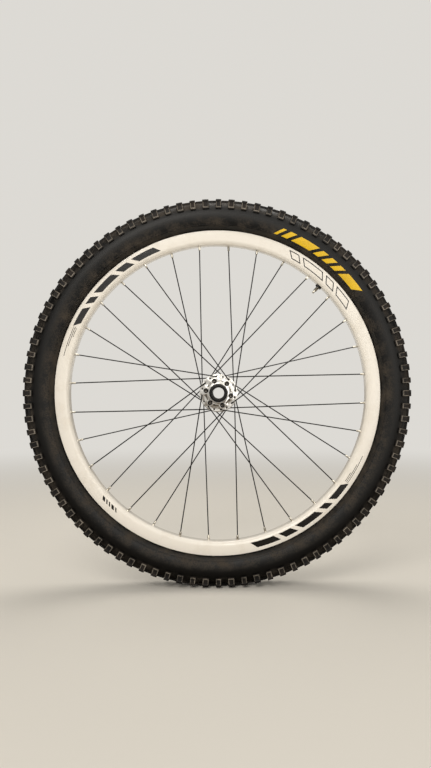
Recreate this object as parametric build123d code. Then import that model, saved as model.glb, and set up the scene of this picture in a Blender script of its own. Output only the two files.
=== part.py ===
from build123d import *
import math
import os

# A 26 inch front wheel of a mountain bicycle, in millimetres and degrees.
# The wheel turns about Y, the rotor side faces -Y, and Z is up.
# Round sections are drawn with the radius along X and the place along the axle along Y.

# Lacing, with angles from +X towards +Z
spoke_count = 32
crosses = 3
first_spoke_angle = 7.4
spoke_stagger = 5.2
wire_d = 2.0
wire_sides = 6
wire_fit = 0.15
wire_end_gap = 0.5
spoke_head_rim = 0.35
spoke_head_t = 1.4
inner_elbow_gap = 0.15
outer_elbow_gap = 1.6
weave_gap = 0.3

# Nipples
nipple_square = 3.3
nipple_show = 8.4
nipple_grip = 8.0
nipple_head_rim = 0.6
nipple_head_t = 3.0
nipple_fit = 0.15
nipple_seat_gap = 0.65

# Rim section
rim_outer_r = 286.0
rim_depth = 24.0
rim_width = 30.0
rim_bed_width = 20.0
rim_corner_rise = 5.0
rim_lip_t = 2.4
rim_lip_height = 6.5
rim_bed_t = 2.0
rim_bridge_t = 1.4
rim_side_t = 1.5

# Rim tape
tape_t = 0.4
seat_gap = 0.05

# Tyre casing
casing_width = 59.0
casing_rise = 22.0
casing_t = 2.2
casing_start_angle = -32.0
casing_shoulder_angle = 44.0
casing_chords = 3
lip_cover = 0.8
bead_t = 3.4
bead_gap = 0.1

# Tread: a row of long and short knobs on each shoulder, and pairs of blocks on the crown between them
tread_pitches = 46
tread_base = 0.7
crown_width = 24.0
crown_groove = 3.0
crown_edge = 1.0
block_length = 16.0
block_height = 4.6
block_stagger = 2.0
shoulder_inset = 1.0
shoulder_reach = 11.0
shoulder_low_rise = 13.6
shoulder_top_rise = 28.5
shoulder_slope = 0.35
long_knob_length = 12.2
short_knob_length = 10.6

# Bearings, sleeve and end caps
hub_length = 110.0
bearing_bore_d = 20.0
bearing_outer_d = 32.0
bearing_width = 7.0
bearing_inset = 14.5
bearing_shoulder = 2.0
ball_share = 11 / 30
ball_cage_width = 3.5
running_gap = 0.05
sleeve_t = 1.8
cap_inset = 0.75
cap_nose_inset = 0.4
cap_nose_length = 3.0
cap_chamfer = 1.2
shell_end_gap = 1.0

# Rotor mount, whose bolts come out on the usual 44 mm circle
rotor_face_inset = 15.5
rotor_pilot_t = 1.4
rotor_bolt_count = 6
first_bolt_angle = 48.5
rotor_boss_rim = 0.16
pocket_width = 10.0
pocket_front_depth = 6.6
pocket_back_depth = 3.6
bolt_d = 5.0
bolt_fit = 0.2
bolt_length = 9.0
bolt_hole_spare = 2.0
bolt_head_d = 8.2
bolt_head_t = 2.6
bolt_head_gap = 0.162
bolt_sides = 8

# Hub shell
rotor_flange_y = -24.0
far_flange_y = 33.0
flange_t = 3.2
spoke_hole_gap = 2.5
flange_edge = 3.9
barrel_t = 3.5
flange_root_rise = 5.0
flange_root_length = 14.0
far_boss_t = 4.5

# Valve
valve_angle = 46.8
valve_stem_d = 6.0
valve_fit = 0.3
valve_show = 17.0
valve_foot_d = 12.0
valve_foot_t = 5.0
valve_nut_t = 3.6
valve_nut_rim = 2.5
valve_nut_sides = 12
valve_core_d = 3.6
valve_core_length = 5.0

# Relations between the pieces
spoke_step = 360 / spoke_count
hub_lead = crosses * 2 * spoke_step
wire_corner_r = wire_d / 2 / math.cos(math.pi / wire_sides)
wire_hole_d = 2 * (wire_corner_r + wire_fit)
spoke_head_d = wire_hole_d + 2 * spoke_head_rim
nipple_hole_d = nipple_square * math.sqrt(2) + 2 * nipple_fit
nipple_head_d = nipple_hole_d + 2 * nipple_head_rim
nipple_bore_depth = nipple_grip + wire_end_gap
rim_bed_r = rim_outer_r - rim_depth
rim_inner_width = rim_width - 2 * rim_lip_t
bead_seat_r = rim_outer_r - rim_lip_height
rim_floor_r = bead_seat_r - tape_t - 2 * seat_gap
bead_half = rim_inner_width / 2 - bead_gap
casing_mid_r = rim_outer_r + casing_rise
casing_r = casing_width / 2
crown_r = casing_mid_r + math.sqrt(casing_r**2 - (crown_width / 2) ** 2)
crown_top_r = crown_r + block_height
cap_face_y = hub_length / 2
bearing_face_y = cap_face_y - bearing_inset
bearing_back_y = bearing_face_y - bearing_width
shell_end_y = bearing_face_y + cap_nose_length - shell_end_gap
bearing_r = bearing_outer_d / 2
bore_r = bearing_bore_d / 2
ball_space = ball_share * (bearing_r - bore_r)
race_t = (bearing_r - bore_r - ball_space) / 2
cap_r = bearing_r - cap_inset
race_outer_r = bearing_r - race_t
race_inner_r = bore_r + race_t
shell_bore_r = bearing_r - bearing_shoulder
rotor_face_y = rotor_face_inset - cap_face_y
rotor_pilot_r = bearing_r + rotor_pilot_t
bolt_head_corner_r = bolt_head_d / 2 / math.cos(math.pi / bolt_sides)
bolt_circle_r = rotor_pilot_r + bolt_head_gap + bolt_head_corner_r
bolt_hole_d = bolt_d / math.cos(math.pi / bolt_sides) + 2 * bolt_fit
rotor_boss_r = bolt_circle_r + bolt_head_corner_r + rotor_boss_rim
spoke_hole_r = rotor_boss_r + spoke_hole_gap
flange_r = spoke_hole_r + flange_edge
barrel_r = shell_bore_r + barrel_t
valve_hole_d = valve_stem_d + 2 * valve_fit


def ring(*points):
    """A ring turned about the axle, from the (radius, y) corners of its section."""
    return revolve(make_face(Polyline(*points, close=True)), Axis.Y)


def both_sides(*points):
    """Section corners for +y, followed by their mirror images back along -y."""
    return [*points, *((r, -y) for r, y in reversed(points))]


def turned(angle, piece):
    """A piece turned about the axle, from +X towards +Z."""
    return Rot(0, -angle, 0) * piece


def around(angle, radius, y):
    """The point at an angle about the axle."""
    a = math.radians(angle)
    return Vector(radius * math.cos(a), y, radius * math.sin(a))


def prism(start, direction, across, sides, length):
    """A bar with flat sides, from a start point along a direction."""
    base = Plane(origin=start, z_dir=direction)
    section = base * RegularPolygon(across / 2, sides, major_radius=False)
    return extrude(section, amount=length, dir=direction)


# Spoke lines


def flange_side(k):
    """-1 for a spoke of the rotor flange, 1 for one of the far flange."""
    return -1 if k % 2 == 0 else 1


def flange_y(k):
    return rotor_flange_y if flange_side(k) < 0 else far_flange_y


def on_inner_face(k):
    """Two neighbours lean one way and leave their flange's inner face, the next two do the opposite."""
    return k % 4 < 2


def elbow_y(k, inner_face):
    """Where the wire bends, on the inner or the outer face of its flange."""
    if inner_face:
        return flange_y(k) - flange_side(k) * (flange_t / 2 + inner_elbow_gap + wire_corner_r)
    return flange_y(k) + flange_side(k) * (flange_t / 2 + outer_elbow_gap + wire_corner_r)


def last_crossing():
    """The share of a spoke's length at which it meets the last spoke that it crosses."""
    lead = math.radians(hub_lead)
    slope = math.tan(math.radians(spoke_step))
    out = spoke_hole_r * math.cos(lead)
    across = spoke_hole_r * math.sin(lead)
    return (across - out * slope) / (across + (rim_bed_r - out) * slope)


def spoke_line(k):
    """The head, elbow, crossing and rim points of a spoke's axis."""
    side = flange_side(k)
    outward = side if on_inner_face(k) else -side
    rim_angle = first_spoke_angle + k * spoke_step
    hub_angle = rim_angle + (hub_lead if on_inner_face(k) else -hub_lead)
    head_y = flange_y(k) + outward * (flange_t / 2 + inner_elbow_gap)
    head = around(hub_angle, spoke_hole_r, head_y)
    elbow = around(hub_angle, spoke_hole_r, elbow_y(k, on_inner_face(k)))
    seat = around(rim_angle, rim_bed_r, side * spoke_stagger)
    # The two spokes that cross last swap sides there, so that they press on each other.
    share = last_crossing()
    mean_elbow_y = (elbow_y(k, True) + elbow_y(k, False)) / 2
    crossing_y = mean_elbow_y + share * (seat.Y - mean_elbow_y)
    crossing = elbow + (seat - elbow) * share
    crossing.Y = crossing_y + outward * (wire_corner_r + weave_gap / 2)
    return head, elbow, crossing, seat


def nipple_line(k):
    """The point where a spoke's axis enters the rim, and its direction there."""
    _, _, crossing, seat = spoke_line(k)
    return seat, (seat - crossing).normalized()


# Pieces at the rim


def rim():
    half = rim_width / 2
    bed_half = rim_bed_width / 2
    corner_r = rim_bed_r + rim_corner_rise
    body = ring(
        *both_sides(
            (rim_bed_r, bed_half),
            (corner_r, half),
            (rim_outer_r, half),
            (rim_outer_r, rim_inner_width / 2),
            (rim_floor_r, rim_inner_width / 2),
        )
    )
    chamber = ring(
        *both_sides(
            (rim_bed_r + rim_bed_t, bed_half - rim_side_t / 2),
            (corner_r + rim_side_t / 2, half - rim_side_t),
            (rim_floor_r - rim_bridge_t, half - rim_side_t),
        )
    )
    holes = []
    for k in range(spoke_count):
        seat, along = nipple_line(k)
        holes.append(prism(seat - along * rim_bed_t, along, nipple_hole_d, wire_sides, 3 * rim_bed_t))
    out = around(valve_angle, 1, 0)
    holes.append(prism(out * (rim_bed_r - rim_bed_t), out, valve_hole_d, valve_nut_sides, rim_depth))
    return body - chamber - holes


def rim_tape():
    low_r = rim_floor_r + seat_gap
    band = ring(*both_sides((low_r, bead_half), (low_r + tape_t, bead_half)))
    out = around(valve_angle, 1, 0)
    return band - prism(out * rim_floor_r, out, valve_hole_d, valve_nut_sides, 3 * tape_t)


def casing_point(radius, angle):
    """A point on the casing's round section, by its angle above the widest place."""
    a = math.radians(angle)
    return casing_mid_r + radius * math.sin(a), radius * math.cos(a)


def casing_outside():
    """The casing filled from bead to bead, without its tread."""
    chord_angle = (casing_shoulder_angle - casing_start_angle) / casing_chords
    angles = [casing_start_angle + n * chord_angle for n in range(casing_chords + 1)]
    return ring(
        *both_sides(
            (bead_seat_r, bead_half),
            (rim_outer_r + lip_cover, bead_half),
            *(casing_point(casing_r, angle) for angle in angles),
            (crown_r, crown_width / 2),
        )
    )


def casing_hollow():
    """The air space of the casing, open between the beads."""
    inside_r = casing_r - casing_t
    return ring(
        *both_sides(
            (bead_seat_r, bead_half - bead_t),
            (rim_outer_r + lip_cover + casing_t, bead_half - bead_t),
            casing_point(inside_r, casing_start_angle),
            casing_point(inside_r, casing_shoulder_angle / 2),
            (crown_r - casing_t, crown_width / 2),
        )
    )


def tread_angle(length):
    """The angle that a length along the tread covers."""
    return math.degrees(length / crown_top_r)


def tread_row(knobs, lengths, edges):
    """A ring of knobs with flat faces, between two edges given as (y, root radius, top radius)."""
    outlines = []
    for y, root_r, top_r in edges:
        outline = []
        for n in range(knobs):
            half = tread_angle(lengths[n % 2]) / 2
            start = n * 360 / knobs - half
            end = n * 360 / knobs + half
            outline += [around(start, root_r, y), around(start, top_r, y)]
            outline += [around(end, top_r, y), around(end, root_r, y)]
        outlines.append(outline)
    near, far = outlines
    corners = [[near[n - 1], near[n], far[n], far[n - 1]] for n in range(len(near))]
    faces = [Face(Wire.make_polygon(points)) for points in [*outlines, *corners]]
    core = Rot(90, 0, 0) * Cylinder(casing_mid_r, casing_width)
    return Solid(Shell(faces)) - core


def tyre():
    block_sides = (crown_groove / 2, crown_width / 2 - crown_edge)
    block_edges = [(y, crown_r + tread_base, crown_top_r) for y in block_sides]
    blocks = tread_row(2 * tread_pitches, [block_length, block_length], block_edges)
    outer_y = casing_r - shoulder_inset
    inner_y = outer_y - shoulder_reach
    inner_root_r = casing_mid_r + math.sqrt(casing_r**2 - inner_y**2) + tread_base
    inner_top_r = casing_mid_r + shoulder_top_rise + shoulder_slope * shoulder_reach
    shoulder_edges = [
        (outer_y, casing_mid_r + shoulder_low_rise, casing_mid_r + shoulder_top_rise),
        (inner_y, inner_root_r, inner_top_r),
    ]
    shoulder = tread_row(2 * tread_pitches, [long_knob_length, short_knob_length], shoulder_edges)
    # A pair of blocks stands halfway between two knobs, one block a little ahead of the other.
    halfway = 90 / tread_pitches
    ahead = tread_angle(block_stagger) / 2
    rows = [shoulder, turned(halfway + ahead, blocks)]
    rows += [mirror(shoulder, Plane.XZ), turned(halfway - ahead, mirror(blocks, Plane.XZ))]
    return casing_outside() + rows - casing_hollow()


# Pieces of the lacing


def spoke(k):
    head, elbow, crossing, seat = spoke_line(k)
    _, along = nipple_line(k)
    tip = seat + along * (nipple_grip - nipple_show)
    shank = (elbow - head).normalized()
    section = Plane(origin=head, z_dir=shank) * RegularPolygon(wire_d / 2, wire_sides, major_radius=False)
    wire = sweep(section, path=Polyline(head, elbow, crossing, tip), transition=Transition.RIGHT)
    return wire + prism(head, -shank, spoke_head_d, wire_sides, spoke_head_t)


def nipple(k):
    seat, along = nipple_line(k)
    mouth = seat - along * nipple_show
    neck = nipple_show + rim_bed_t + nipple_seat_gap
    body = prism(mouth, along, nipple_square, 4, neck)
    body += prism(mouth + along * neck, along, nipple_head_d, wire_sides, nipple_head_t)
    return body - prism(mouth, along, wire_hole_d, wire_sides, nipple_bore_depth)


# Pieces of the hub


def hub_shell():
    half_flange = flange_t / 2
    root_r = barrel_r + flange_root_rise
    body = ring(
        (bearing_r, -shell_end_y),
        (rotor_pilot_r, -shell_end_y),
        (rotor_pilot_r, rotor_face_y),
        (rotor_boss_r, rotor_face_y),
        (rotor_boss_r, rotor_flange_y - half_flange),
        (flange_r, rotor_flange_y - half_flange),
        (flange_r, rotor_flange_y + half_flange),
        (root_r, rotor_flange_y + half_flange),
        (barrel_r, rotor_flange_y + half_flange + flange_root_length),
        (barrel_r, far_flange_y - half_flange - flange_root_length),
        (root_r, far_flange_y - half_flange),
        (flange_r, far_flange_y - half_flange),
        (flange_r, far_flange_y + half_flange),
        (bearing_r + far_boss_t, far_flange_y + half_flange),
        (bearing_r + far_boss_t, shell_end_y),
        (bearing_r, shell_end_y),
        (bearing_r, bearing_back_y),
        (shell_bore_r, bearing_back_y),
        (shell_bore_r, -bearing_back_y),
        (bearing_r, -bearing_back_y),
    )
    cuts = []
    for k in range(spoke_count):
        head, elbow, _, _ = spoke_line(k)
        through = (elbow - head).normalized()
        cuts.append(prism(head - through * flange_t, through, wire_hole_d, wire_sides, 3 * flange_t))
    # Pockets between the bolts leave a tower under each, with a sloping floor towards the flange.
    back_y = rotor_flange_y - half_flange
    outside_r = rotor_boss_r + rotor_pilot_t
    pocket_section = Polyline(
        (rotor_boss_r - pocket_front_depth, rotor_face_y),
        (rotor_boss_r - pocket_back_depth, back_y),
        (outside_r, back_y),
        (outside_r, rotor_face_y),
        close=True,
    )
    pocket = extrude(make_face(pocket_section), amount=pocket_width / 2, both=True)
    bolt_step = 360 / rotor_bolt_count
    for n in range(rotor_bolt_count):
        angle = first_bolt_angle + n * bolt_step
        cuts.append(turned(angle + bolt_step / 2, pocket))
        mouth = around(angle, bolt_circle_r, rotor_face_y)
        cuts.append(prism(mouth, (0, 1, 0), bolt_hole_d, bolt_sides, bolt_length + bolt_hole_spare))
    return body - cuts


def rotor_bolt(n):
    seat = around(first_bolt_angle + n * 360 / rotor_bolt_count, bolt_circle_r, rotor_face_y)
    head = prism(seat, (0, -1, 0), bolt_head_d, bolt_sides, bolt_head_t)
    return head + prism(seat, (0, 1, 0), bolt_d, bolt_sides, bolt_length)


def bearing_rings(inner_r, outer_r, width):
    """A pair of rings, one in each bearing, with a width about the bearing's middle."""
    middle = (bearing_face_y + bearing_back_y) / 2
    pair = []
    for side in (-1, 1):
        low = side * middle - width / 2
        high = side * middle + width / 2
        pair.append(ring((inner_r, low), (outer_r, low), (outer_r, high), (inner_r, high)))
    return pair


def axle_sleeve():
    outer_r = bore_r + sleeve_t
    return ring(*both_sides((bore_r, bearing_back_y), (outer_r, bearing_back_y)))


def end_cap(side):
    nose_r = race_inner_r - cap_nose_inset
    nose_y = bearing_face_y + cap_nose_length
    points = [
        (bore_r, bearing_face_y),
        (nose_r, bearing_face_y),
        (nose_r, nose_y),
        (cap_r, nose_y),
        (cap_r, cap_face_y - cap_chamfer),
        (cap_r - cap_chamfer, cap_face_y),
        (bore_r, cap_face_y),
    ]
    return ring(*((r, side * y) for r, y in points))


# Pieces of the valve


def valve_bar(start_r, end_r, d):
    """A round bar along the valve, between two radii of the wheel."""
    out = around(valve_angle, 1, 0)
    return extrude(Plane(origin=out * start_r, z_dir=out) * Circle(d / 2), amount=end_r - start_r, dir=out)


def valve_stem():
    foot_r = bead_seat_r
    tip_r = rim_bed_r - valve_show + valve_core_length
    stem = valve_bar(tip_r, foot_r + valve_foot_t, valve_stem_d)
    return stem + valve_bar(foot_r, foot_r + valve_foot_t, valve_foot_d)


def valve_nut():
    # The bed is round and the nut is flat, so the nut's rim stands off by the bed's rise under it.
    nut_r = valve_stem_d / 2 + valve_nut_rim
    start_r = math.sqrt(rim_bed_r**2 - (nut_r + seat_gap) ** 2) - seat_gap - valve_nut_t
    out = around(valve_angle, 1, 0)
    nut = prism(out * start_r, out, 2 * nut_r, valve_nut_sides, valve_nut_t)
    return nut - valve_bar(start_r - valve_nut_t, rim_bed_r, valve_stem_d + 2 * seat_gap)


def valve_core():
    tip_r = rim_bed_r - valve_show
    return valve_bar(tip_r, tip_r + valve_core_length, valve_core_d)


# Every node and the solids in it
cage_inner_r = race_inner_r + running_gap
cage_outer_r = race_outer_r - running_gap
nodes = {
    "tyre": [tyre()],
    "rim": [rim()],
    "rim_tape": [rim_tape()],
    "valve_stem": [valve_stem()],
    "valve_nut": [valve_nut()],
    "valve_core": [valve_core()],
    "spoke_nipples": [nipple(k) for k in range(spoke_count)],
    "hub_shell": [hub_shell()],
    "rotor_bolts": [rotor_bolt(n) for n in range(rotor_bolt_count)],
    "bearing_outer_races": bearing_rings(race_outer_r, bearing_r - running_gap, bearing_width),
    "bearing_ball_cages": bearing_rings(cage_inner_r, cage_outer_r, ball_cage_width),
    "bearing_inner_races": bearing_rings(bore_r, race_inner_r, bearing_width),
    "axle_sleeve": [axle_sleeve()],
    "end_cap_rotor_side": [end_cap(-1)],
    "end_cap_far_side": [end_cap(1)],
}
for k in range(spoke_count):
    nodes[f"spoke_{k + 1:02d}"] = [spoke(k)]

os.makedirs("parts", exist_ok=True)
for name, solids in nodes.items():
    piece = solids[0] if len(solids) == 1 else Compound(solids)
    export_step(piece, f"parts/{name}.step")
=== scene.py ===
# %% [markdown]
# A mountain bicycle's front wheel
#
# The wheel arrives as plain solids at their real size, and they stay where they are. This lesson dresses
# them: it models smooth and detailed pieces over the plain ones, gives every surface the finish of its
# real material, and sets a camera and soft studio light. Each piece then turns with the body that carries
# it.

# %% Load the solids
import math

import bmesh
import bpy
from mathutils import Matrix, Vector


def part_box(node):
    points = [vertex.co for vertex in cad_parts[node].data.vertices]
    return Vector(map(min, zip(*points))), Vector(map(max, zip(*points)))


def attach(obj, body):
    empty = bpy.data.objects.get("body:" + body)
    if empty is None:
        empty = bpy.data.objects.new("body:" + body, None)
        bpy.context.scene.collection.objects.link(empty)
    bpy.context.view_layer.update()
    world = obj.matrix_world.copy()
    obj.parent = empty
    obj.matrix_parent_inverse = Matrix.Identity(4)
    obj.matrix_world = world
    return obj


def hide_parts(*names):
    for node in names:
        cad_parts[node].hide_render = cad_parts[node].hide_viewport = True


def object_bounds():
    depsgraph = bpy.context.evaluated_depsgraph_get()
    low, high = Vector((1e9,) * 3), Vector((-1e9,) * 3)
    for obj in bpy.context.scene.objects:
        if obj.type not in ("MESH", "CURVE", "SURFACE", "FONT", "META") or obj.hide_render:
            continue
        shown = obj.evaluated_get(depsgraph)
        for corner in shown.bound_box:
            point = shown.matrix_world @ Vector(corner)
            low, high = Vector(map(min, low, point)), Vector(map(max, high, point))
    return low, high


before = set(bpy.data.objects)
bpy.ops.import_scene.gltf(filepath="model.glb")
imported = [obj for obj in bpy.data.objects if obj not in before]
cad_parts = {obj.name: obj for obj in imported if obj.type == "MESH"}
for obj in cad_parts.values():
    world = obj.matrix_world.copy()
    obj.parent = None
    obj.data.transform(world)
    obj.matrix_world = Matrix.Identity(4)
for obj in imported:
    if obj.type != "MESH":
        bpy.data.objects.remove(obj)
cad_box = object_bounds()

# %% [markdown]
# A wheel is easiest to describe by angles, radii and places along its axle, and in millimetres rather
# than Blender's metres. So every mesh is modelled in millimetres and scaled once, when it becomes a
# piece. Angles run round the axle from the right, +X, to the top, +Z. The main radii are measured on the
# solids.

# %% Places on the wheel
MM = 0.001
FULL_TURN = 2 * math.pi
ORIGIN = Vector((0, 0, 0))
AXLE = Vector((0, 1, 0))


def on_wheel(angle, radius, y):
    """The point at an angle in degrees, a radius and a place along the axle."""
    a = math.radians(angle)
    return Vector((radius * math.cos(a), y, radius * math.sin(a)))


def facing(point, direction):
    """The matrix that stands a shape at a point with its Z along a direction."""
    return Matrix.Translation(point) @ direction.to_track_quat("Z", "Y").to_matrix().to_4x4()


def half_sizes(node):
    """Half the width, depth and height of a solid that is centred on the axle."""
    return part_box(node)[1] / MM


tyre_r = half_sizes("tyre").x
rim_r = half_sizes("rim").x
rim_half = half_sizes("rim").y
print("tyre radius", round(tyre_r, 1), "rim radius", round(rim_r, 1))

# %% [markdown]
# The camera stands where the photograph was taken from: on the axle's own line, so that the eye looks
# straight through the hub, and turned a little to the right. The wheel is still in the middle of the
# picture, because the lens is shifted, as in a photograph that was cropped. The distance follows from how
# much larger the near rotor bolts look than the far rim, and the focal length, in pixels, from the
# wheel's size.

# %% Camera
PHOTO_WIDTH, PHOTO_HEIGHT = 431, 768
FOCAL_PIXELS = 702.8
CAMERA_PLACE = Vector((6.0, -1250.0, 3.0))
CAMERA_TILT, CAMERA_TURN = 90.0, -1.6
CROP_RIGHT, CROP_DOWN = 26.05, 7.4
SENSOR = 36.0
picture_side = max(PHOTO_WIDTH, PHOTO_HEIGHT)

camera = bpy.data.objects.new("camera", bpy.data.cameras.new("camera"))
camera.data.sensor_width = SENSOR
camera.data.lens = SENSOR * FOCAL_PIXELS / picture_side
camera.data.shift_x = -CROP_RIGHT / picture_side
camera.data.shift_y = CROP_DOWN / picture_side
camera.location = CAMERA_PLACE * MM
camera.rotation_euler = (math.radians(CAMERA_TILT), 0, math.radians(CAMERA_TURN))
bpy.context.scene.collection.objects.link(camera)
bpy.context.scene.camera = camera
print("lens", round(camera.data.lens, 2), "mm")

# %% [markdown]
# Colours are written as sRGB hex, as a colour picker shows them, and Blender works in linear light, so
# one function converts them. A second one adds a shader node, sets its values and links its inputs:
# materials then read as short lists of nodes.

# %% Colours and nodes


def linear(hex_colour):
    """An sRGB hex colour as linear red, green, blue and alpha."""
    channels = [int(hex_colour[i : i + 2], 16) / 255 for i in (1, 3, 5)]
    return (*(c / 12.92 if c <= 0.04045 else ((c + 0.055) / 1.055) ** 2.4 for c in channels), 1.0)


def add_node(tree, kind, settings=None, links=None):
    """Adds a node, sets its values or options, and links its inputs. A node stands for its first output."""
    node = tree.nodes.new(kind)
    for name, value in (settings or {}).items():
        if isinstance(name, int) or name in node.inputs:
            node.inputs[name].default_value = value
        else:
            setattr(node, name, value)
    for name, source in (links or {}).items():
        socket = source.outputs[0] if isinstance(source, bpy.types.Node) else source
        tree.links.new(socket, node.inputs[name])
    return node


def new_material(name):
    """An empty node material, and its tree."""
    material = bpy.data.materials.new(name)
    material.use_nodes = True
    material.node_tree.nodes.clear()
    return material, material.node_tree


print("middle grey in linear light", round(linear("#808080")[0], 3))

# %% [markdown]
# The stage is a plain pale floor. Studios roll paper up behind an object to hide the horizon. Here the
# floor is flat and its shader does that job: near the wheel it is matt and takes shadows, and far away it
# shines as the sky does. Polished metal shows whatever lies round it, so rays from glossy surfaces meet a
# darker floor, as in a room.

# %% Floor
FLOOR_SIZE, FLOOR_SIDES = 30000.0, 64
FLOOR_COLOUR = linear("#E2DED6")
MIRRORED_FLOOR = linear("#786F64")
FADE_START, FADE_END = 700.0, 3200.0
SKY_COLOUR = linear("#ECE9E3")
SKY_SHOWN = 0.86
MIRRORED_GLOW = 0.8

floor_mesh = bmesh.new()
bmesh.ops.create_circle(floor_mesh, cap_ends=True, segments=FLOOR_SIDES, radius=FLOOR_SIZE * MM)
bmesh.ops.translate(floor_mesh, vec=(0, 0, cad_box[0].z), verts=floor_mesh.verts)
floor = bpy.data.objects.new("floor", bpy.data.meshes.new("floor"))
floor_mesh.to_mesh(floor.data)
floor_mesh.free()
bpy.context.scene.collection.objects.link(floor)

floor_material, tree = new_material("pale_floor")
place = add_node(tree, "ShaderNodeTexCoord").outputs["Object"]
away = add_node(tree, "ShaderNodeVectorMath", {"operation": "LENGTH"}, {0: place})
fade = add_node(
    tree, "ShaderNodeMapRange",
    {"interpolation_type": "SMOOTHSTEP", "From Min": FADE_START * MM, "From Max": FADE_END * MM},
    {"Value": away.outputs["Value"]},
)
in_mirror = add_node(tree, "ShaderNodeLightPath").outputs["Is Glossy Ray"]
paint = add_node(
    tree, "ShaderNodeMix", {"data_type": "RGBA", 6: FLOOR_COLOUR, 7: MIRRORED_FLOOR}, {0: in_mirror}
)
shine = add_node(
    tree, "ShaderNodeMix", {"data_type": "FLOAT", 2: SKY_SHOWN, 3: MIRRORED_GLOW}, {0: in_mirror}
)
matt = add_node(tree, "ShaderNodeBsdfDiffuse", {}, {"Color": paint.outputs[2]})
glow = add_node(tree, "ShaderNodeEmission", {"Color": SKY_COLOUR}, {"Strength": shine})
faded = add_node(tree, "ShaderNodeMixShader", {}, {0: fade, 1: matt, 2: glow})
add_node(tree, "ShaderNodeOutputMaterial", {}, {"Surface": faded})
floor.data.materials.append(floor_material)
print("floor at", round(cad_box[0].z / MM, 1), "mm")

# %% [markdown]
# The sky is the world's background. One plain colour would do for the light, but polished metal would
# then look like grey paint, because all that it mirrors would be alike. So the strength depends on the
# ray: the camera sees an even pale backdrop, surfaces get soft light from all round, and glossy ones see
# a room with a window, bright in front, above and a little to the right, and dark elsewhere.

# %% Sky
SKY_LIGHT = 0.5
WINDOW_SIDE = Vector((0.3, -0.65, 0.7)).normalized()
WINDOW_EDGE = 0.2
WINDOW_DARK, WINDOW_BRIGHT = 0.05, 1.35

world = bpy.data.worlds.new("studio")
world.use_nodes = True
tree = world.node_tree
tree.nodes.clear()
path = add_node(tree, "ShaderNodeLightPath")
look = add_node(tree, "ShaderNodeTexCoord").outputs["Generated"]
towards = add_node(tree, "ShaderNodeVectorMath", {"operation": "DOT_PRODUCT", 1: WINDOW_SIDE}, {0: look})
window = add_node(
    tree, "ShaderNodeMapRange",
    {"From Min": WINDOW_EDGE, "To Min": WINDOW_DARK, "To Max": WINDOW_BRIGHT},
    {"Value": towards.outputs["Value"]},
)
plain = add_node(
    tree, "ShaderNodeMapRange", {"To Min": SKY_LIGHT, "To Max": SKY_SHOWN},
    {"Value": path.outputs["Is Camera Ray"]},
)
strength = add_node(
    tree, "ShaderNodeMix", {"data_type": "FLOAT"}, {0: path.outputs["Is Glossy Ray"], 2: plain, 3: window}
)
sky = add_node(tree, "ShaderNodeBackground", {"Color": SKY_COLOUR}, {"Strength": strength})
add_node(tree, "ShaderNodeOutputWorld", {}, {"Surface": sky})
bpy.context.scene.world = world
print("sky", SKY_LIGHT, "as light,", SKY_SHOWN, "in the picture")

# %% [markdown]
# Three lamps do the rest. The main one hangs high on the left, as a ceiling lamp would, a weaker one
# fills from the right, and one above and behind draws a line of light along the tyre's knobs. A point
# lamp would throw hard shadows of every spoke, so all three are large squares, as a studio's soft boxes
# are.

# %% Lamps
LAMP_COLOUR = linear("#FFFAF2")[:3]
# Each lamp's place and width in millimetres, and its power in watts.
LAMPS = {
    "key": ((-1100, -3400, 2600), 2400, 80.0),
    "fill": ((1300, -2300, 400), 1400, 10.0),
    "top": ((100, 700, 1700), 1200, 14.0),
}
for name, (place, size, power) in LAMPS.items():
    lamp = bpy.data.objects.new(name, bpy.data.lights.new(name, "AREA"))
    lamp.data.size = size * MM
    lamp.data.energy = power
    lamp.data.color = LAMP_COLOUR
    lamp.location = Vector(place) * MM
    lamp.rotation_euler = (-Vector(place)).to_track_quat("-Z", "Y").to_euler()
    bpy.context.scene.collection.objects.link(lamp)

# The view transform keeps colours as they are written.
bpy.context.scene.view_settings.view_transform = "Standard"
print("lamps", ", ".join(LAMPS))

# %% [markdown]
# Tyre rubber is natural and synthetic rubber filled with carbon black, moulded hot. New, it is a deep
# black with a soft sheen. In use, dust settles in its pores, so it goes brown and grey in patches. A
# picture of rubber could be wrapped on, but it would stretch and repeat. Patches of noise mix the dust in
# instead, and a fine grain breaks the sheen.

# %% Rubber
DUST_PATCH, DUST_SPECK = 28.0, 2.5
SPECK_SHARE = 0.4
DUST_ROUGHNESS = 0.85
# The real grain is about 0.1 mm wide, too fine to show, so it is drawn coarser.
RUBBER_GRAIN, GRAIN_DEPTH = 0.7, 0.2


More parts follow.
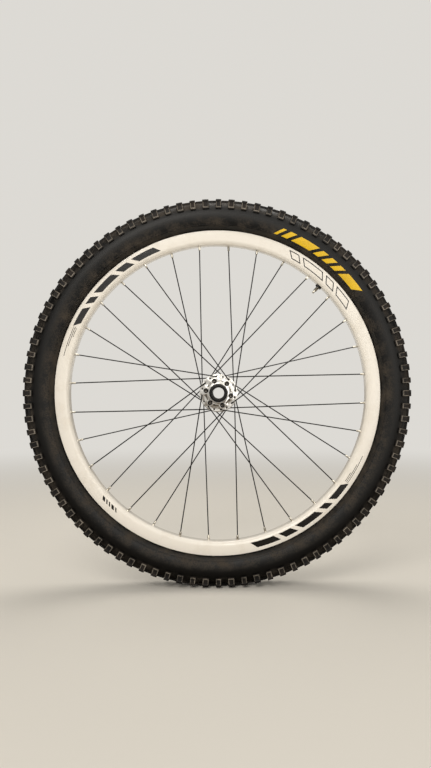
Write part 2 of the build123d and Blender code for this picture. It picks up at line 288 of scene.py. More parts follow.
def rubber(name, clean, dusty, dust_from, dust_to, roughness, painted_shade_band=None):
    """Moulded rubber, with dust wherever a patchy noise passes from one level to another.

    Four radii say where dust fades, is gone, starts again and is back: the band without it is painted
    shade."""
    material, tree = new_material(name)
    place = add_node(tree, "ShaderNodeTexCoord").outputs["Object"]
    patch = add_node(
        tree, "ShaderNodeTexNoise",
        {"Scale": 1 / (DUST_PATCH * MM), "Detail": 4.0, "Roughness": 0.6},
        {"Vector": place},
    )
    speck = add_node(
        tree, "ShaderNodeTexNoise",
        {"Scale": 1 / (DUST_SPECK * MM), "Detail": 3.0, "Roughness": 0.7},
        {"Vector": place},
    )
    mixed = add_node(tree, "ShaderNodeMix", {"data_type": "FLOAT", 0: SPECK_SHARE}, {2: patch, 3: speck})
    amount = add_node(
        tree, "ShaderNodeMapRange", {"From Min": dust_from, "From Max": dust_to}, {"Value": mixed}
    )
    # Between the middle two radii no dust is mixed in, so the wall stays black there as painted shade.
    if painted_shade_band:
        fade_r, shade_start_r, shade_end_r, back_r = (r * MM for r in painted_shade_band)
        flat = add_node(tree, "ShaderNodeVectorMath", {"operation": "MULTIPLY", 1: (1, 0, 1)}, {0: place})
        radius = add_node(tree, "ShaderNodeVectorMath", {"operation": "LENGTH"}, {0: flat})
        below, above = (
            add_node(
                tree, "ShaderNodeMapRange", {"From Min": none_r, "From Max": full_r},
                {"Value": radius.outputs["Value"]},
            )
            for none_r, full_r in ((shade_start_r, fade_r), (shade_end_r, back_r))
        )
        either = add_node(tree, "ShaderNodeMath", {"operation": "MAXIMUM"}, {0: below, 1: above})
        amount = add_node(tree, "ShaderNodeMath", {"operation": "MULTIPLY"}, {0: amount, 1: either})
    colour = add_node(
        tree, "ShaderNodeMix", {"data_type": "RGBA", 6: linear(clean), 7: linear(dusty)}, {0: amount}
    )
    rough = add_node(
        tree, "ShaderNodeMapRange", {"To Min": roughness, "To Max": DUST_ROUGHNESS}, {"Value": amount}
    )
    grain = add_node(
        tree, "ShaderNodeTexNoise", {"Scale": 1 / (RUBBER_GRAIN * MM), "Detail": 2.0}, {"Vector": place}
    )
    bump = add_node(
        tree, "ShaderNodeBump", {"Strength": 0.25, "Distance": GRAIN_DEPTH * MM}, {"Height": grain}
    )
    shader = add_node(
        tree, "ShaderNodeBsdfPrincipled", {"IOR": 1.5, "Specular IOR Level": 0.3},
        {"Base Color": colour.outputs[2], "Roughness": rough, "Normal": bump},
    )
    add_node(tree, "ShaderNodeOutputMaterial", {}, {"Surface": shader})
    return material


# The wall has the softest sheen. Dust browns it near rim and knobs; a band just below the knobs is painted
# shade.
PAINTED_SHADE_RADII = (298.0, 312.0, 320.0, 325.0)
casing_rubber = rubber("casing_rubber", "#0A0908", "#403931", 0.45, 0.6, 0.46, painted_shade_band=PAINTED_SHADE_RADII)
# The knobs rub on the ground, so they are duller, and dust sits all over them.
knob_rubber = rubber("knob_rubber", "#0C0A09", "#332B25", 0.45, 0.65, 0.6)
# A painted highlight for the frames of the knobs' panels: grey, pale, quite dull rubber, with dust in
# patches.
painted_highlight_rubber = rubber("painted_highlight_rubber", "#332F2B", "#8E867B", 0.36, 0.62, 0.75)
print("rubbers", casing_rubber.name, knob_rubber.name, painted_highlight_rubber.name)

# %% [markdown]
# Many parts of a wheel are round. Such a part could start from a cylinder or be swept by a Screw
# modifier. Spinning a section fits best, because every corner comes out where it is written. The corners
# are radii and heights, and the section turns about the Z of a place.

# %% A section turned round
TOUCHING = 0.001
WHEEL = facing(ORIGIN, AXLE)


def spun(points, steps, place):
    """A body turned about the Z of a place, from the (radius, height) corners of its section."""
    bm = bmesh.new()
    corners = [bm.verts.new((r, 0, z)) for r, z in points]
    pairs = zip(corners, corners[1:] + corners[:1])
    edges = [bm.edges.new(pair) for pair in pairs if max(v.co.x for v in pair) > 0]
    bmesh.ops.spin(
        bm, geom=corners + edges, cent=ORIGIN, axis=(0, 0, 1), angle=FULL_TURN, steps=steps, use_merge=True
    )
    bmesh.ops.remove_doubles(bm, verts=bm.verts, dist=TOUCHING)
    on_axis = [v for v in bm.verts if v.co.xy.length < TOUCHING]
    bmesh.ops.dissolve_verts(bm, verts=on_axis)
    bmesh.ops.recalc_face_normals(bm, faces=bm.faces)
    bmesh.ops.transform(bm, matrix=place, verts=bm.verts)
    return bm


print("the wheel's own parts turn about", *(round(c) for c in WHEEL.col[2].xyz))

# %% [markdown]
# The casing is a hoop with a round section, open towards the rim, so it is a section that is spun about
# the axle. Only half of it is written down, and the other half is its mirror image. Thin ribs run round
# the wall just above the rim, where the mould's rings meet. They are in the section too, so they catch
# real light.

# %% Tyre casing
CASING_MID_R = rim_r + 22.0
CASING_R = 29.5
CASING_T = 2.2
BEAD_HALF = 12.5
BEAD_T = 3.4
BEAD_LOW_R = rim_r - 6.5
LIP_COVER = 0.8
CASING_START, CASING_END = -32.0, 62.0
ARC_STEPS = 20
HOLLOW_ANGLES = (55, 30, 0, -30)
RIB_ANGLES = (-30.5, -28.5)
RIB_WIDTH, RIB_HEIGHT = 1.2, 0.35
CROWN_Y = 11.5
CROWN_LOW_R, CROWN_TOP_R = CASING_MID_R + 27.65, CASING_MID_R + 31.55
TYRE_STEPS = 276


def casing_at(angle, lift=0.0):
    """A point of the casing's round section, by its angle above the widest place."""
    a = math.radians(angle)
    return CASING_MID_R + (CASING_R + lift) * math.sin(a), (CASING_R + lift) * math.cos(a)


def casing_half():
    """The outside of the section from bead to crown, for +y."""
    step = (CASING_END - CASING_START) / ARC_STEPS
    arc = [(CASING_START + n * step, 0.0) for n in range(ARC_STEPS + 1)]
    for rib in RIB_ANGLES:
        arc += [(rib - RIB_WIDTH, 0.0), (rib - RIB_WIDTH / 2, RIB_HEIGHT)]
        arc += [(rib + RIB_WIDTH / 2, RIB_HEIGHT), (rib + RIB_WIDTH, 0.0)]
    return [
        (BEAD_LOW_R, BEAD_HALF),
        (rim_r + LIP_COVER, BEAD_HALF),
        *(casing_at(angle, lift) for angle, lift in sorted(arc)),
        (CROWN_LOW_R, CROWN_Y),
    ]


def hollow_half():
    """The inside of the section from crown to bead, for +y."""
    return [
        *(casing_at(angle, -CASING_T) for angle in HOLLOW_ANGLES),
        (rim_r + LIP_COVER + CASING_T, BEAD_HALF - BEAD_T),
        (BEAD_LOW_R, BEAD_HALF - BEAD_T),
    ]


def mirrored_section(outside, inside):
    """A closed section: outside from +y to -y, then inside back again."""
    outside_twin = [(r, -y) for r, y in reversed(outside)]
    inside_twin = [(r, -y) for r, y in reversed(inside)]
    return [*outside, *outside_twin, *inside_twin, *inside]


tyre_mesh = spun(mirrored_section(casing_half(), hollow_half()), TYRE_STEPS, WHEEL)
print("casing", len(tyre_mesh.faces), "faces")

# %% [markdown]
# A knob is a block of rubber that bites into the ground. It starts as a cube. The edges of its top and
# its upright corners are bevelled, and a thin slit is sunk into its top, so that the rubber can flex. A
# shoulder knob also has a sunk panel on its outer side, inside a U-shaped frame painted pale as a
# highlight on the panel's edges. All of that is easy while the block is straight, so it is bent onto the
# tyre last: along it becomes an angle, across it a place between two edges of the tread, and up it a
# radius. There are hundreds of knobs, so each has few faces.

# %% Knob blocks
PITCHES = 46
KNOB_TAPER = 0.1
KNOB_EDGE = 0.7
PANEL_LOW, PANEL_HIGH, PANEL_FRAME, PANEL_DEPTH = 0.11, 0.84, 1.9, 0.9
SLIT_WIDTH, SLIT_FRAME, SLIT_DEPTH = 2.6, 0.7, 2.4
STRAIGHT = 0.9
# Material slot 1 is a pale painted highlight on the knobs' panel frames, and bare worn steel in the bolts'
# sockets.
WEAR_AND_HIGHLIGHT, KNOB = 1, 2


def split(bm, faces, point, normal):
    """Cuts some faces of a mesh along a plane."""
    geometry = {*faces, *(e for f in faces for e in f.edges), *(v for f in faces for v in f.verts)}
    bmesh.ops.bisect_plane(bm, geom=list(geometry), plane_co=point, plane_no=normal)


def block(length, across, height):
    """A straight knob with bevelled edges and a slit across its top."""
    bm = bmesh.new()
    bmesh.ops.create_cube(bm, size=1, matrix=Matrix.Diagonal((length, across, height, 1)))
    upper = [e for e in bm.edges if max(v.co.z for v in e.verts) > 0]
    bmesh.ops.bevel(
        bm, geom=upper, offset=KNOB_EDGE, offset_type="OFFSET", affect="EDGES",
        segments=1, profile=0.5, material=-1,
    )
    for x in (-SLIT_WIDTH / 2, SLIT_WIDTH / 2):
        split(bm, [f for f in bm.faces if f.normal.z > STRAIGHT], (x, 0, 0), (1, 0, 0))
    top = [f for f in bm.faces if f.normal.z > STRAIGHT]
    strip = [f for f in top if abs(f.calc_center_median().x) < SLIT_WIDTH / 4]
    bmesh.ops.inset_individual(bm, faces=strip, thickness=SLIT_FRAME, depth=-SLIT_DEPTH)
    for face in bm.faces:
        face.material_index = KNOB
    return bm


def add_panel(bm, height):
    """Sinks a panel into the side that faces -y, and paints its frame pale as a highlight, except along the
    top.
    """
    low, high = (height * (share - 0.5) for share in (PANEL_LOW, PANEL_HIGH))
    for z in (low, high):
        split(bm, [f for f in bm.faces if f.normal.y < -STRAIGHT], (0, 0, z), (0, 0, 1))
    side = [f for f in bm.faces if f.normal.y < -STRAIGHT and low < f.calc_center_median().z < high]
    frame_faces = bmesh.ops.inset_individual(bm, faces=side, thickness=PANEL_FRAME, depth=-PANEL_DEPTH)
    # The frame, except its top bar, is painted pale as a highlight.
    for face in frame_faces["faces"]:
        if face.calc_center_median().z < high - PANEL_FRAME:
            face.material_index = WEAR_AND_HIGHLIGHT


def bent(bm, place, across, height, edges):
    """Bends a straight block onto the tyre, between edges given as (y, root radius, top radius)."""
    (y0, root0, top0), (y1, root1, top1) = edges
    for vert in bm.verts:
        share = vert.co.y / across + 0.5
        rise = vert.co.z / height + 0.5
        root = root0 + (root1 - root0) * share
        top = top0 + (top1 - top0) * share
        angle = place + math.degrees(vert.co.x * (1 - KNOB_TAPER * rise) / tyre_r)
        vert.co = on_wheel(angle, root + (top - root) * rise, y0 + (y1 - y0) * share)
    return bm


print("tread pitch", round(FULL_TURN * tyre_r / PITCHES, 1), "mm")

# %% [markdown]
# A tyre's mould repeats one pitch of the tread all the way round. Here a pitch has a long and a short
# shoulder knob on each side, and two pairs of crown blocks between them. So one pitch is modelled, and a
# spin with duplicates copies it about the axle. An Array modifier could do that too, but it needs a
# helper object to turn about.

# %% Tread
LONG_KNOB, SHORT_KNOB = 12.2, 10.6
SHOULDER_Y, SHOULDER_INNER_Y = 28.5, 17.5
SHOULDER_TOP_R, SHOULDER_INNER_TOP_R = CASING_MID_R + 28.5, CASING_MID_R + 32.35
SHOULDER_ROOT_R, SHOULDER_INNER_ROOT_R = CASING_MID_R + 13.6, CASING_MID_R + 22.5
CENTRE_KNOB, CENTRE_LEAD = 16.0, 2.0
CENTRE_IN_Y, CENTRE_OUT_Y = 1.5, 11.0
CENTRE_ROOT = 1.0


def join_into(target, source):
    """Adds one mesh to another and frees it."""
    mesh = bpy.data.meshes.new("joined")
    source.to_mesh(mesh)
    source.free()
    target.from_mesh(mesh)
    bpy.data.meshes.remove(mesh)


def shoulder_knob(length, place, side):
    """One knob of a shoulder row."""
    across = SHOULDER_Y - SHOULDER_INNER_Y
    height = SHOULDER_TOP_R - SHOULDER_ROOT_R
    bm = block(length, across, height)
    add_panel(bm, height)
    edges = [
        (side * SHOULDER_Y, SHOULDER_ROOT_R, SHOULDER_TOP_R),
        (side * SHOULDER_INNER_Y, SHOULDER_INNER_ROOT_R, SHOULDER_INNER_TOP_R),
    ]
    return bent(bm, place, across, height, edges)


def crown_block(place, side):
    """One of a pair of crown blocks. The one towards +y runs a little ahead of its twin."""
    across = CENTRE_OUT_Y - CENTRE_IN_Y
    height = CROWN_TOP_R - CROWN_LOW_R + CENTRE_ROOT
    ahead = side * math.degrees(CENTRE_LEAD / 2 / tyre_r)
    edges = [(side * y, CROWN_TOP_R - height, CROWN_TOP_R) for y in (CENTRE_OUT_Y, CENTRE_IN_Y)]
    return bent(block(CENTRE_KNOB, across, height), place + ahead, across, height, edges)


knob_step = 180 / PITCHES
pitch = bmesh.new()
for side in (-1, 1):
    join_into(pitch, shoulder_knob(LONG_KNOB, 0.0, side))
    join_into(pitch, shoulder_knob(SHORT_KNOB, knob_step, side))
    for place in (knob_step / 2, knob_step * 3 / 2):
        join_into(pitch, crown_block(place, side))
bmesh.ops.spin(
    pitch, geom=[*pitch.verts, *pitch.edges, *pitch.faces], cent=ORIGIN, axis=AXLE,
    angle=FULL_TURN * (PITCHES - 1) / PITCHES, steps=PITCHES - 1, use_duplicate=True,
)
bmesh.ops.recalc_face_normals(pitch, faces=pitch.faces)
print("tread", len(pitch.faces), "faces")
join_into(tyre_mesh, pitch)

# %% [markdown]
# A mesh becomes a piece in one place: it is scaled to metres, given its finishes, shaded smooth with
# crisp edges, and set to ride on a body, in place of the solids that it dresses. One function for all
# keeps the pieces alike. The tyre is the first: casing and knobs are one moulded piece, so they are one
# mesh.

# %% Mesh to piece
SHARP_ANGLE = math.radians(32)


def new_piece(bm, name, body, materials, replaced=()):
    """Scales a mesh to metres and makes it a piece that rides on a body in place of some solids."""
    bmesh.ops.scale(bm, vec=(MM, MM, MM), verts=bm.verts)
    mesh = bpy.data.meshes.new(name)
    bm.to_mesh(mesh)
    bm.free()
    for material in materials:
        mesh.materials.append(material)
    mesh.shade_smooth()
    mesh.set_sharp_from_angle(angle=SHARP_ANGLE)
    piece = bpy.data.objects.new(name, mesh)
    bpy.context.scene.collection.objects.link(piece)
    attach(piece, body)
    if replaced:
        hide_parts(*replaced)
    print(name, len(mesh.polygons), "faces")


new_piece(tyre_mesh, "tyre_rubber", "wheel", [casing_rubber, painted_highlight_rubber, knob_rubber], ["tyre"])

# %% [markdown]
# The rim is an aluminium hoop under white gloss enamel. Enamel levels itself while it is wet, so it is
# smooth with a faint waviness, and road dust greys it a little. A plain white shader would look like
# plastic: the wavy reflection and the dull patches of dirt are what make it paint. Printing ink is a thin
# paint too, so it shares the recipe.

# %% Rim enamel and ink
ENAMEL_WAVE, WAVE_DEPTH = 6.0, 0.1
DIRT_PATCH = 30.0


def enamel(name, paint, dirt):
    """Gloss paint with a faint waviness and a little dirt."""
    material, tree = new_material(name)
    place = add_node(tree, "ShaderNodeTexCoord").outputs["Object"]
    wave = add_node(
        tree, "ShaderNodeTexNoise", {"Scale": 1 / (ENAMEL_WAVE * MM), "Detail": 1.0}, {"Vector": place}
    )
    bump = add_node(
        tree, "ShaderNodeBump", {"Strength": 0.08, "Distance": WAVE_DEPTH * MM}, {"Height": wave}
    )
    patch = add_node(
        tree, "ShaderNodeTexNoise",
        {"Scale": 1 / (DIRT_PATCH * MM), "Detail": 6.0, "Roughness": 0.7},
        {"Vector": place},
    )
    dirty = add_node(
        tree, "ShaderNodeMapRange", {"From Min": 0.5, "From Max": 0.9, "To Max": 0.6}, {"Value": patch}
    )
    colour = add_node(
        tree, "ShaderNodeMix", {"data_type": "RGBA", 6: linear(paint), 7: linear(dirt)}, {0: dirty}
    )
    rough = add_node(tree, "ShaderNodeMapRange", {"To Min": 0.22, "To Max": 0.5}, {"Value": dirty})
    shader = add_node(
        tree, "ShaderNodeBsdfPrincipled", {"IOR": 1.5, "Coat Weight": 0.3, "Coat Roughness": 0.12},
        {"Base Color": colour.outputs[2], "Roughness": rough, "Normal": bump},
    )
    add_node(tree, "ShaderNodeOutputMaterial", {}, {"Surface": shader})
    return material


# Baked enamel is a bright, slightly warm white with a soft gloss, and dust dulls it in patches.
white_enamel = enamel("white_enamel", "#FAF4EA", "#D8CCB8")
# Screen printing ink is a flat deep black that shines as the enamel below it does.
black_ink = enamel("black_ink", "#131211", "#2A2622")
print("paints", white_enamel.name, black_ink.name)

# %% [markdown]
# The rim's hoop is bent from one long extrusion, so its section is the same all round: a bed towards the
# hub, flat sides, and two lips that hold the tyre. Its edges are rounded. The hoop could be spun first
# and then bevelled, but it is simpler to draw the section as a face, bevel its corners, and spin its
# outline.

# %% Rim hoop
RIM_DEPTH = 24.0
RIM_BED_HALF = 10.0
RIM_CORNER_RISE = 5.0
RIM_LIP_T = 2.4
RIM_LIP_HEIGHT = 7.0
RIM_STEPS = 192
CORNER_ROUND, LIP_ROUND = 2.6, 0.7
CORNER_REACH = 1.0
rim_bed_r = rim_r - RIM_DEPTH
channel_r = rim_r - RIM_LIP_HEIGHT


def rim_section():
    """The rim's outline, with its corners rounded."""
    bm = bmesh.new()
    half = [
        (rim_bed_r, RIM_BED_HALF),
        (rim_bed_r + RIM_CORNER_RISE, rim_half),
        (rim_r, rim_half),
        (rim_r, rim_half - RIM_LIP_T),
        (channel_r, rim_half - RIM_LIP_T),
    ]
    points = [*half, *((r, -y) for r, y in reversed(half))]
    bm.faces.new([bm.verts.new((r, y, 0)) for r, y in points])
    bed = (0, channel_r - CORNER_REACH, CORNER_ROUND)
    lips = (rim_r - CORNER_REACH, rim_r + CORNER_REACH, LIP_ROUND)
    for low_r, high_r, width in (bed, lips):
        corners = [v for v in bm.verts if low_r < v.co.x < high_r]
        bmesh.ops.bevel(
            bm, geom=corners, offset=width, offset_type="OFFSET", affect="VERTICES",
            segments=4, profile=0.5, material=-1,
        )
    bmesh.ops.delete(bm, geom=bm.faces[:], context="FACES_ONLY")
    return bm


rim_mesh = rim_section()
bmesh.ops.spin(
    rim_mesh, geom=[*rim_mesh.verts, *rim_mesh.edges], cent=ORIGIN, axis=AXLE,
    angle=FULL_TURN, steps=RIM_STEPS, use_merge=True,
)
bmesh.ops.recalc_face_normals(rim_mesh, faces=rim_mesh.faces)
print("rim hoop", len(rim_mesh.faces), "faces")

# %% [markdown]
# A wheel is laced with straight wires, each from a hole in a hub flange to a nipple in the rim. Even
# spokes hang on the rotor flange and odd ones on the far flange. Two neighbours lean one way from the
# inner faces of the flanges, the next two lean the other way from the outer faces, and where two of one
# flange cross for the last time they swap sides and press on each other. Placing 32 wires by hand would
# never meet all that, so each is worked out from its number. Four points describe a wire.

# %% Spoke lines
SPOKES = 32
CROSSES = 3
FIRST_SPOKE = 7.4
SPOKE_STEP = 360 / SPOKES
HUB_LEAD = 2 * CROSSES * SPOKE_STEP
SPOKE_STAGGER = 5.2
SPOKE_HOLE_R = 29.07
FLANGE_Y = {-1: -24.0, 1: 33.0}
FLANGE_HALF = 1.6
WIRE_R = 1.0
# The solids' wires have six sides, and their corners need a little more room than a round wire.
WIRE_ROOM = WIRE_R / math.cos(math.pi / 6)
INNER_GAP, OUTER_GAP, WEAVE_GAP = 0.15, 1.6, 0.3


def elbow_y(side, inner_face):
    """Where a wire bends, beside the inner or the outer face of its flange."""
    if inner_face:
        return FLANGE_Y[side] - side * (FLANGE_HALF + INNER_GAP + WIRE_ROOM)
    return FLANGE_Y[side] + side * (FLANGE_HALF + OUTER_GAP + WIRE_ROOM)


def last_crossing():
    """The share of a wire's length at which it meets the last wire that it crosses."""
    lead = math.radians(HUB_LEAD)
    slope = math.tan(math.radians(SPOKE_STEP))
    out, across = SPOKE_HOLE_R * math.cos(lead), SPOKE_HOLE_R * math.sin(lead)
    return (across - out * slope) / (across + (rim_bed_r - out) * slope)


def spoke_line(k):
    """The head, elbow, crossing and rim points of a wire."""
    side = -1 if k % 2 == 0 else 1
    inner_face = k % 4 < 2
    outward = side if inner_face else -side
    rim_angle = FIRST_SPOKE + k * SPOKE_STEP
    hub_angle = rim_angle + (HUB_LEAD if inner_face else -HUB_LEAD)
    head = on_wheel(hub_angle, SPOKE_HOLE_R, FLANGE_Y[side] + outward * (FLANGE_HALF + INNER_GAP))
    elbow = on_wheel(hub_angle, SPOKE_HOLE_R, elbow_y(side, inner_face))
    seat = on_wheel(rim_angle, rim_bed_r, side * SPOKE_STAGGER)
    share = last_crossing()
    middle_y = (elbow_y(side, True) + elbow_y(side, False)) / 2
    crossing = elbow.lerp(seat, share)
    crossing.y = middle_y + share * (seat.y - middle_y) + outward * (WIRE_ROOM + WEAVE_GAP / 2)
    return head, elbow, crossing, seat


spoke_lines = [spoke_line(k) for k in range(SPOKES)]
print("spoke length", round((spoke_lines[0][3] - spoke_lines[0][1]).length, 1), "mm")

# %% [markdown]
# The rim is drilled for the nipples, each hole along its own spoke, and once more for the valve. Holes
# could be inset in the bed's faces, but these lean, so they don't fit the grid of the mesh. A boolean
# cuts all of them in one go, as a drill does, and its result is read back as a mesh.

# %% Drill the rim
NIPPLE_HOLE_R, NIPPLE_HOLE_SIDES = 2.5, 16
VALVE_ANGLE = 46.8
VALVE_HOLE_R, VALVE_HOLE_SIDES = 3.3, 20
HOLE_DEPTH = 12.0


def cut_out(target, cutter):
    """One mesh with another cut out of it."""
    pieces = []
    for bm in (target, cutter):
        mesh = bpy.data.meshes.new("cut")
        bm.to_mesh(mesh)
        bm.free()
        pieces.append(bpy.data.objects.new("cut", mesh))
        bpy.context.scene.collection.objects.link(pieces[-1])
    boolean = pieces[0].modifiers.new("cut", "BOOLEAN")
    boolean.object = pieces[1]
    boolean.operation = "DIFFERENCE"
    boolean.solver = "EXACT"
    result = bmesh.new()
    result.from_object(pieces[0], bpy.context.evaluated_depsgraph_get())
    for piece in pieces:
        mesh = piece.data
        bpy.data.objects.remove(piece)
        bpy.data.meshes.remove(mesh)
    return result


drills = bmesh.new()
for _, _, crossing, seat in spoke_lines:
    bmesh.ops.create_cone(
        drills, cap_ends=True, segments=NIPPLE_HOLE_SIDES, radius1=NIPPLE_HOLE_R, radius2=NIPPLE_HOLE_R,
        depth=HOLE_DEPTH, matrix=facing(seat, seat - crossing),
    )
valve_out = on_wheel(VALVE_ANGLE, 1, 0)
bmesh.ops.create_cone(
    drills, cap_ends=True, segments=VALVE_HOLE_SIDES, radius1=VALVE_HOLE_R, radius2=VALVE_HOLE_R,
    depth=HOLE_DEPTH, matrix=facing(valve_out * rim_bed_r, valve_out),
)
new_piece(cut_out(rim_mesh, drills), "rim_hoop", "wheel", [white_enamel], ["rim"])

# %% [markdown]
# Printed marks are thin fields of ink. They could be painted in the material, but a mesh keeps their
# edges sharp from any distance. Each starts as a flat grid in its own straight space, one side along the
# wheel and one across, and is bent onto the surface below it. A frame is a bar with its middle taken out.

# %% Bars and frames of ink
INK_T = 0.08
INK_STEP = 1.5
FEWEST_COLUMNS = 2


def printed_bar(start, end, low_r, high_r, slant, y):
    """A bar of ink on a flat side of the rim, between two angles and two radii, leaning by an angle."""
    bm = bmesh.new()
    columns = max(FEWEST_COLUMNS, round(abs(end - start) / INK_STEP))
    bmesh.ops.create_grid(bm, x_segments=columns, y_segments=1, size=0.5)
    for vert in bm.verts:
        along, across = vert.co.x + 0.5, vert.co.y + 0.5
        angle = start + (end - start) * along + slant * across
        vert.co = on_wheel(angle, low_r + (high_r - low_r) * across, y)
    return bm


def printed_frame(start, end, low_r, high_r, slant, line, y):
    """The outline of a slanted bar: made one face, inset by a line's width, with its middle taken out."""
    bm = printed_bar(start, end, low_r, high_r, slant, y)
    middle = bmesh.ops.dissolve_faces(bm, faces=bm.faces[:])["region"]
    bmesh.ops.inset_individual(bm, faces=middle, thickness=line, use_even_offset=True)
    bmesh.ops.delete(bm, geom=middle, context="FACES")
    return bm


print("ink", INK_T, "mm thick")

# %% [markdown]
# Both sides of the rim carry the same print: two groups of bold bars, each with three thin lines behind
# it, a group of frames by the valve, and a few small bars. Offsets and lengths are angles in degrees, so
# a group is moved round the rim by its start alone.

# %% Printed bars on the rim
INK_LOW_R, INK_HIGH_R = rim_bed_r + 7.2, rim_r - 4.2
BAR_SLANT = 2.2
BOLD_HIGH_R = INK_HIGH_R - 2
BOLD_STARTS = (112.0, -78.0)
BOLD_BARS = ((0.0, 9.0), (11.0, 5.0), (18.0, 9.0), (29.0, 3.0), (34.0, 7.0))
PIN_LINES = (0.25, 0.5, 0.75)
PIN_LENGTH, PIN_T = 15.0, 0.9
FRAME_START = 33.0
FRAME_BARS = ((0.0, 7.0), (8.5, 4.0), (14.0, 9.0), (24.5, 4.0))
FRAME_LINE = 1.6
SMALL_START = -138.5
SMALL_BARS = ((0.0, 1.2), (1.9, 0.6), (3.2, 0.6), (4.5, 1.2), (6.4, 0.6))
SMALL_HIGH_R = INK_LOW_R + 6.0

ink_mesh = bmesh.new()
for side in (-1, 1):
    ink_y = side * (rim_half + INK_T)
    for start in BOLD_STARTS:
        for offset, length in BOLD_BARS:
            begin = start + offset
            bar = printed_bar(begin, begin + length, INK_LOW_R, BOLD_HIGH_R, BAR_SLANT, ink_y)
            join_into(ink_mesh, bar)
        pin_start = start + BOLD_BARS[-1][0] + BOLD_BARS[-1][1] + BAR_SLANT
        for share in PIN_LINES:
            low_r = INK_LOW_R + (BOLD_HIGH_R - INK_LOW_R) * share
            pin_end = pin_start + PIN_LENGTH * share
            join_into(ink_mesh, printed_bar(pin_start, pin_end, low_r, low_r + PIN_T, 0.0, ink_y))
    for offset, length in FRAME_BARS:
        begin = FRAME_START + offset
        outline = printed_frame(begin, begin + length, INK_LOW_R, INK_HIGH_R, BAR_SLANT, FRAME_LINE, ink_y)
        join_into(ink_mesh, outline)
    for offset, length in SMALL_BARS:
        begin = SMALL_START + offset
        bar = printed_bar(begin, begin + length, INK_LOW_R, SMALL_HIGH_R, BAR_SLANT / 2, ink_y)
        join_into(ink_mesh, bar)
bmesh.ops.remove_doubles(ink_mesh, verts=ink_mesh.verts, dist=TOUCHING)
bmesh.ops.recalc_face_normals(ink_mesh, faces=ink_mesh.faces)
bmesh.ops.solidify(ink_mesh, geom=ink_mesh.faces[:], thickness=INK_T)
new_piece(ink_mesh, "rim_print", "wheel", [black_ink])

# %% [markdown]
# The tyre's coloured print is ink too, pressed onto the wall while it is hot. Its bars follow the round
# wall, so their second direction is an angle of the casing's section instead of a radius, and the grid
# has more rows to bend by.

# %% Printed bars on the tyre
# Rubber ink is a strong yellow with a soft gloss, which dust browns a little.
yellow_ink = enamel("yellow_ink", "#EFC31E", "#A98A2A")
TYRE_INK_LOW, TYRE_INK_HIGH = -26.5, 0.0
TYRE_INK_START = 38.0
TYRE_INK_ROWS = 6
TYRE_BARS = ((0.0, 7.0), (8.5, 2.2), (12.2, 2.2), (15.9, 2.2), (19.6, 7.0), (28.1, 2.2), (31.8, 1.2))
TYRE_SLANT = -2.6


def tyre_bar(start, end, side):
    """A slanted bar of ink on the tyre's wall."""
    bm = bmesh.new()
    columns = max(FEWEST_COLUMNS, round((end - start) / INK_STEP))
    bmesh.ops.create_grid(bm, x_segments=columns, y_segments=TYRE_INK_ROWS, size=0.5)
    for vert in bm.verts:
        along, across = vert.co.x + 0.5, vert.co.y + 0.5
        radius, y = casing_at(TYRE_INK_LOW + (TYRE_INK_HIGH - TYRE_INK_LOW) * across, INK_T)
        vert.co = on_wheel(start + (end - start) * along + TYRE_SLANT * across, radius, side * y)
    return bm


tyre_ink = bmesh.new()
for side in (-1, 1):
    for offset, length in TYRE_BARS:
        begin = TYRE_INK_START + offset
        join_into(tyre_ink, tyre_bar(begin, begin + length, side))
bmesh.ops.recalc_face_normals(tyre_ink, faces=tyre_ink.faces)
bmesh.ops.solidify(tyre_ink, geom=tyre_ink.faces[:], thickness=INK_T)
new_piece(tyre_ink, "tyre_print", "wheel", [yellow_ink])

# %% [markdown]
# The metals share one recipe. A metal's colour is its reflection, so it needs few nodes: a colour that
# hardly varies, a roughness that is smeared by handling, and the fine rings that a lathe leaves round the
# axle. The black parts are metal under a thin dark coat, which reflects much less, so they are less
# metallic.

# %% Metals
SMUDGE = 9.0
# A lathe's rings are about 0.1 mm apart, too fine to show, so they are drawn wider.
LATHE_LINE, LATHE_DEPTH = 0.9, 0.03
# At scale 1, a wave texture runs through 20 radians in a metre.
WAVE_TURNS = 20 / FULL_TURN


def metal(name, colour, stain, rough_from, rough_to, metallic, lathe=0.0):
    """Bare or coated metal, with smudges and, if turned on a lathe, fine rings."""
    material, tree = new_material(name)
    place = add_node(tree, "ShaderNodeTexCoord").outputs["Object"]
    smudge = add_node(
        tree, "ShaderNodeTexNoise",
        {"Scale": 1 / (SMUDGE * MM), "Detail": 5.0, "Roughness": 0.65},
        {"Vector": place},
    )
    stained = add_node(tree, "ShaderNodeMapRange", {"From Min": 0.45, "From Max": 0.8}, {"Value": smudge})
    tint = add_node(
        tree, "ShaderNodeMix", {"data_type": "RGBA", 6: linear(colour), 7: linear(stain)}, {0: stained}
    )
    rough = add_node(
        tree, "ShaderNodeMapRange",
        {"From Min": 0.3, "From Max": 0.7, "To Min": rough_from, "To Max": rough_to},
        {"Value": smudge},
    )
    links = {"Base Color": tint.outputs[2], "Roughness": rough}
    if lathe:
        rings = add_node(
            tree, "ShaderNodeTexWave",
            {"wave_type": "RINGS", "rings_direction": "Y", "Scale": 1 / (LATHE_LINE * MM * WAVE_TURNS)},
            {"Vector": place},
        )
        bump = add_node(
            tree, "ShaderNodeBump", {"Strength": lathe, "Distance": LATHE_DEPTH * MM},
            {"Height": rings.outputs["Fac"]},
        )
        links["Normal"] = bump
    shader = add_node(tree, "ShaderNodeBsdfPrincipled", {"Metallic": metallic}, links)
    add_node(tree, "ShaderNodeOutputMaterial", {}, {"Surface": shader})
    return material


# Polished aluminium is nearly white and mirrors the room, with a faint shimmer from the lathe.
polished_aluminium = metal("polished_aluminium", "#EFEDE9", "#C9C4BA", 0.14, 0.3, 1.0, lathe=0.25)
